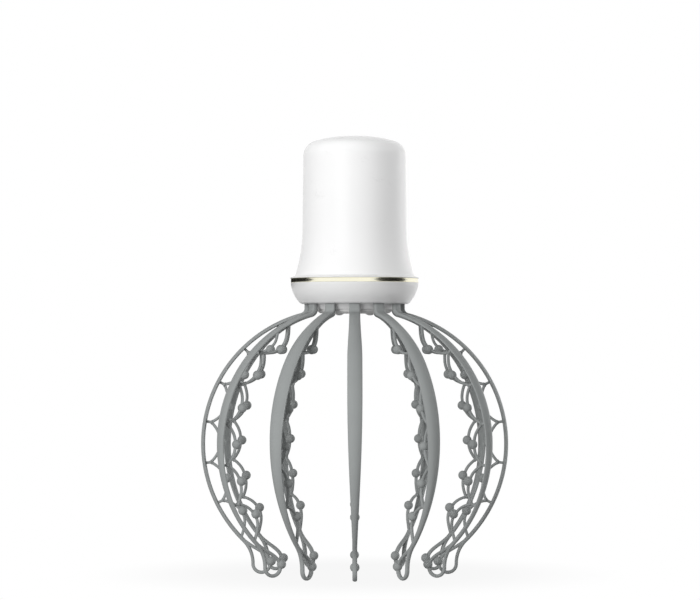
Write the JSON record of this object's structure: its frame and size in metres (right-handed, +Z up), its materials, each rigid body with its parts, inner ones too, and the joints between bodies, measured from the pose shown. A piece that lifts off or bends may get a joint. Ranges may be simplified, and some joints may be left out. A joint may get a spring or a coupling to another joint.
{
  "type": "electric scalp massager",
  "caption": "Bell-shaped battery handpiece with a top push button over a cage of sprung scalp claws with balls.",
  "frame": {"origin": "on the floor under the middle of the cage, at the claw tips", "axes": "+Z up through the handpiece; -Y is the front, towards the first claw; the charging port faces +Y"},
  "size_m": [0.172, 0.172, 0.2446],
  "materials": {
    "housing_white": "satin",
    "pad_grey_white": "matte",
    "claw_grey": "satin",
    "trim_gold": "polished, champagne anodised",
    "button_white": "satin",
    "lens": "frosted",
    "switch_black": "matte",
    "rubber_grey": "matte",
    "board_green": "satin",
    "chip_black": "matte",
    "port_steel": "satin",
    "screw_steel": "satin",
    "inner_plastic": "matte",
    "motor_steel": "satin",
    "cap_black": "matte",
    "weight_steel": "machined",
    "battery_foil": "foil",
    "foam_black": "matte",
    "wire_black": "matte"
  },
  "bodies": {
    "housing": {"upper_shell": "housing_white", "trim_ring": "trim_gold", "base_bowl": "housing_white", "crown_pad": "pad_grey_white", "button_seal": "rubber_grey", "tact_switch": "switch_black", "control_board": "board_green", "board_parts": "chip_black", "usb_port": "port_steel", "board_screws": "screw_steel", "claw_retainer": "inner_plastic", "retainer_screws": "screw_steel", "chassis": "inner_plastic", "chassis_screws": "screw_steel", "motor_sleeve": "rubber_grey", "motor_can": "motor_steel", "motor_end_cap": "cap_black", "motor_clamp": "inner_plastic", "clamp_screws": "screw_steel", "battery_cell": "battery_foil", "battery_pad": "foam_black", "motor_leads": "wire_black", "battery_leads": "wire_black"},
    "button": {"power_button": "button_white", "indicator_lens": "lens", "switch_plunger": "switch_black"},
    "rotor": {"motor_shaft": "motor_steel", "eccentric_weight": "weight_steel"},
    "claw_01": {"claw_01": "claw_grey"},
    "claw_02": {"claw_02": "claw_grey"},
    "claw_03": {"claw_03": "claw_grey"},
    "claw_04": {"claw_04": "claw_grey"},
    "claw_05": {"claw_05": "claw_grey"},
    "claw_06": {"claw_06": "claw_grey"},
    "claw_07": {"claw_07": "claw_grey"},
    "claw_08": {"claw_08": "claw_grey"},
    "claw_09": {"claw_09": "claw_grey"},
    "claw_10": {"claw_10": "claw_grey"},
    "claw_11": {"claw_11": "claw_grey"},
    "claw_12": {"claw_12": "claw_grey"}
  },
  "joints": [
    {"name": "power_button_press", "type": "slide", "parent": "housing", "child": "button", "axis": [0, 0, -1], "range_m": [0, 0.0005], "stiffness_N_per_m": 3200},
    {"name": "motor_rotor_spin", "type": "hinge", "parent": "housing", "child": "rotor", "pos_m": [0, 0, 0.16502], "axis": [0, 0, 1], "continuous": true},
    {"name": "claw_01_flex", "type": "hinge", "parent": "housing", "child": "claw_01", "pos_m": [0, -0.02665, 0.15332], "axis": [-1, 0, 0], "range_deg": [-3, 12], "stiffness_Nm_per_rad": 1.05},
    {"name": "claw_02_flex", "type": "hinge", "parent": "housing", "child": "claw_02", "pos_m": [0.01333, -0.02308, 0.15332], "axis": [-0.866, -0.5, 0], "range_deg": [-3, 12], "stiffness_Nm_per_rad": 1.05},
    {"name": "claw_03_flex", "type": "hinge", "parent": "housing", "child": "claw_03", "pos_m": [0.02308, -0.01333, 0.15332], "axis": [-0.5, -0.866, 0], "range_deg": [-3, 12], "stiffness_Nm_per_rad": 1.05},
    {"name": "claw_04_flex", "type": "hinge", "parent": "housing", "child": "claw_04", "pos_m": [0.02665, 0, 0.15332], "axis": [0, -1, 0], "range_deg": [-3, 12], "stiffness_Nm_per_rad": 1.05},
    {"name": "claw_05_flex", "type": "hinge", "parent": "housing", "child": "claw_05", "pos_m": [0.02308, 0.01333, 0.15332], "axis": [0.5, -0.866, 0], "range_deg": [-3, 12], "stiffness_Nm_per_rad": 1.05},
    {"name": "claw_06_flex", "type": "hinge", "parent": "housing", "child": "claw_06", "pos_m": [0.01333, 0.02308, 0.15332], "axis": [0.866, -0.5, 0], "range_deg": [-3, 12], "stiffness_Nm_per_rad": 1.05},
    {"name": "claw_07_flex", "type": "hinge", "parent": "housing", "child": "claw_07", "pos_m": [0, 0.02665, 0.15332], "axis": [1, 0, 0], "range_deg": [-3, 12], "stiffness_Nm_per_rad": 1.05},
    {"name": "claw_08_flex", "type": "hinge", "parent": "housing", "child": "claw_08", "pos_m": [-0.01333, 0.02308, 0.15332], "axis": [0.866, 0.5, 0], "range_deg": [-3, 12], "stiffness_Nm_per_rad": 1.05},
    {"name": "claw_09_flex", "type": "hinge", "parent": "housing", "child": "claw_09", "pos_m": [-0.02308, 0.01333, 0.15332], "axis": [0.5, 0.866, 0], "range_deg": [-3, 12], "stiffness_Nm_per_rad": 1.05},
    {"name": "claw_10_flex", "type": "hinge", "parent": "housing", "child": "claw_10", "pos_m": [-0.02665, 0, 0.15332], "axis": [0, 1, 0], "range_deg": [-3, 12], "stiffness_Nm_per_rad": 1.05},
    {"name": "claw_11_flex", "type": "hinge", "parent": "housing", "child": "claw_11", "pos_m": [-0.02308, -0.01333, 0.15332], "axis": [-0.5, 0.866, 0], "range_deg": [-3, 12], "stiffness_Nm_per_rad": 1.05},
    {"name": "claw_12_flex", "type": "hinge", "parent": "housing", "child": "claw_12", "pos_m": [-0.01333, -0.02308, 0.15332], "axis": [-0.866, 0.5, 0], "range_deg": [-3, 12], "stiffness_Nm_per_rad": 1.05}
  ]
}
